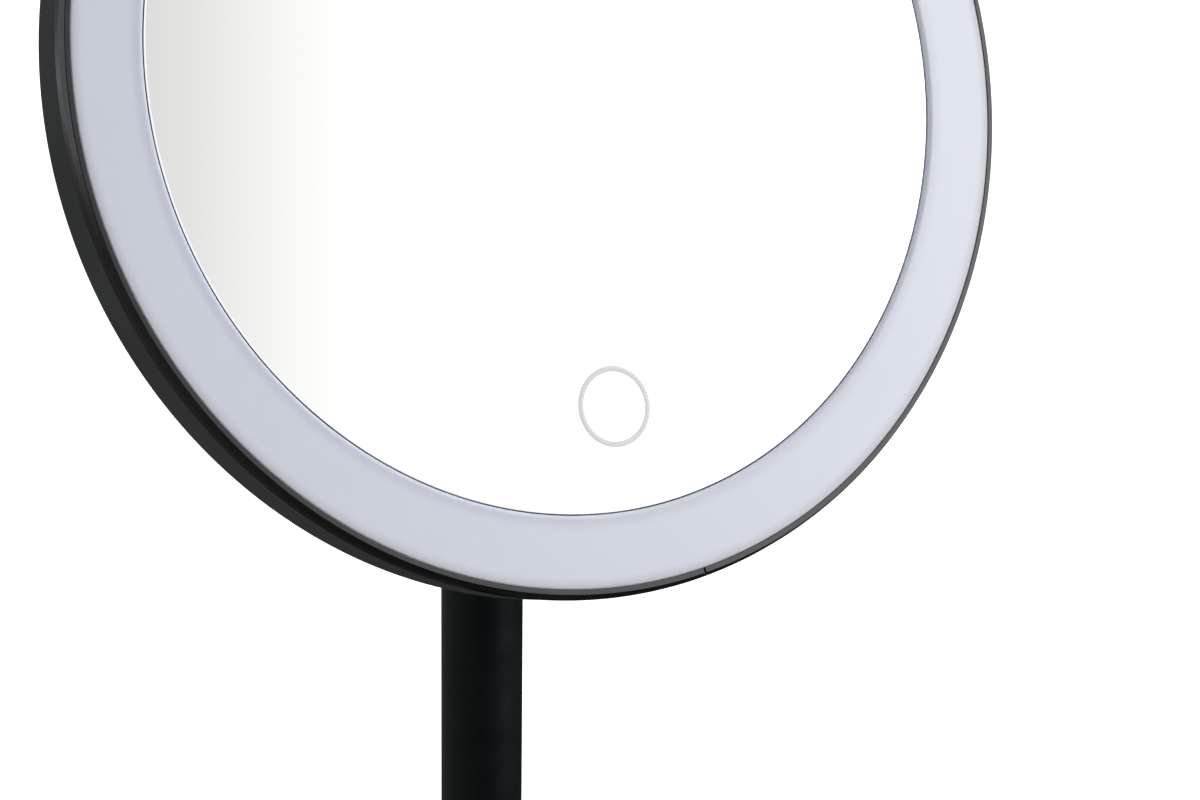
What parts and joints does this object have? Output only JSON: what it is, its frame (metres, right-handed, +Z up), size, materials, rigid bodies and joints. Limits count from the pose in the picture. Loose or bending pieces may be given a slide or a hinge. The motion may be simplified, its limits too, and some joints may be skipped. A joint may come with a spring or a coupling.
{
  "type": "extendable shaving mirror",
  "caption": "Round tilting shaving mirror with a light ring and touch switch, on a telescopic column with a twist lock and a round weighted base.",
  "frame": {"origin": "centre of the underside of the base, on the surface that it stands on", "axes": "+Z up along the column, the mirror faces -Y, +X is to the right of someone who looks from the front"},
  "size_m": [0.2, 0.15, 0.3943],
  "materials": {
    "bezel_paint": "fine powder coat, satin black",
    "housing_plastic": "matte black, fine spark texture",
    "opal_diffuser": "opal white, smooth, translucent",
    "mirror_glass": "silvered float glass, polished bevel",
    "frosted_mark": "frosted light grey",
    "white_plastic": "white reflector grade",
    "white_board": "white solder mask",
    "green_board": "green solder mask",
    "led_lens": "phosphor yellow lens",
    "contact_metal": "plain spring brass",
    "battery_foil": "laminated foil pouch",
    "foam_tape": "closed-cell foam tape",
    "socket_steel": "plated stamped shell",
    "lead_red": "red insulation",
    "lead_white": "white insulation",
    "screw_steel": "zinc plated",
    "black_screw": "black oxide",
    "hinge_metal": "satin black die casting",
    "column_paint": "satin black powder coat",
    "inner_tube_paint": "smooth satin black",
    "collar_plastic": "matte black grip",
    "black_plastic": "plain black",
    "black_nylon": "black nylon",
    "nylon": "natural nylon",
    "base_paint": "satin black powder coat",
    "weight_iron": "as cast",
    "foot_rubber": "soft foam rubber"
  },
  "bodies": {
    "base": {"base_cover": "base_paint", "base_weight": "weight_iron", "base_plate": "black_plastic", "base_plate_screws": "screw_steel", "foot_pad": "foot_rubber", "foot_plug": "hinge_metal", "base_washer": "screw_steel", "base_bolt": "screw_steel", "column_flange": "column_paint", "outer_tube": "column_paint", "split_collet": "nylon"},
    "collar": {"lock_collar": "collar_plastic"},
    "column": {"inner_tube": "inner_tube_paint", "column_glide": "nylon", "swivel_bush": "black_nylon"},
    "swivel": {"swivel_yoke": "hinge_metal", "tilt_bolt": "screw_steel", "tilt_nut": "screw_steel", "friction_washers": "nylon", "axle_caps": "collar_plastic", "swivel_washer": "screw_steel", "swivel_screw": "screw_steel"},
    "head": {"head_bracket": "hinge_metal", "bracket_screws": "screw_steel", "stiffener_plate": "screw_steel", "rear_housing": "housing_plastic", "housing_screws": "black_screw", "front_bezel": "bezel_paint", "diffuser_ring": "opal_diffuser", "mirror_glass": "mirror_glass", "touch_ring": "frosted_mark", "mirror_tape": "foam_tape", "reflector_tray": "white_plastic", "led_ring_board": "white_board", "leds": "led_lens", "touch_electrode": "contact_metal", "control_board": "green_board", "board_screws": "screw_steel", "board_parts": "black_plastic", "battery_cell": "battery_foil", "battery_tapes": "foam_tape", "charging_socket": "socket_steel", "charging_board": "green_board", "battery_leads": "lead_red", "charging_leads": "lead_red", "led_leads": "lead_white"}
  },
  "joints": [
    {"name": "column_slide", "type": "slide", "parent": "base", "child": "column", "axis": [0, 0, 1], "range_m": [0, 0.11]},
    {"name": "collar_turn", "type": "hinge", "parent": "base", "child": "collar", "pos_m": [0, 0, 0.228], "axis": [0, 0, 1], "range_deg": [0, 110]},
    {"name": "head_swivel", "type": "hinge", "parent": "column", "child": "swivel", "pos_m": [0, 0, 0.29], "axis": [0, 0, 1], "continuous": true},
    {"name": "head_tilt", "type": "hinge", "parent": "swivel", "child": "head", "pos_m": [0, 0, 0.29], "axis": [1, 0, 0], "range_deg": [-55, 25]}
  ]
}
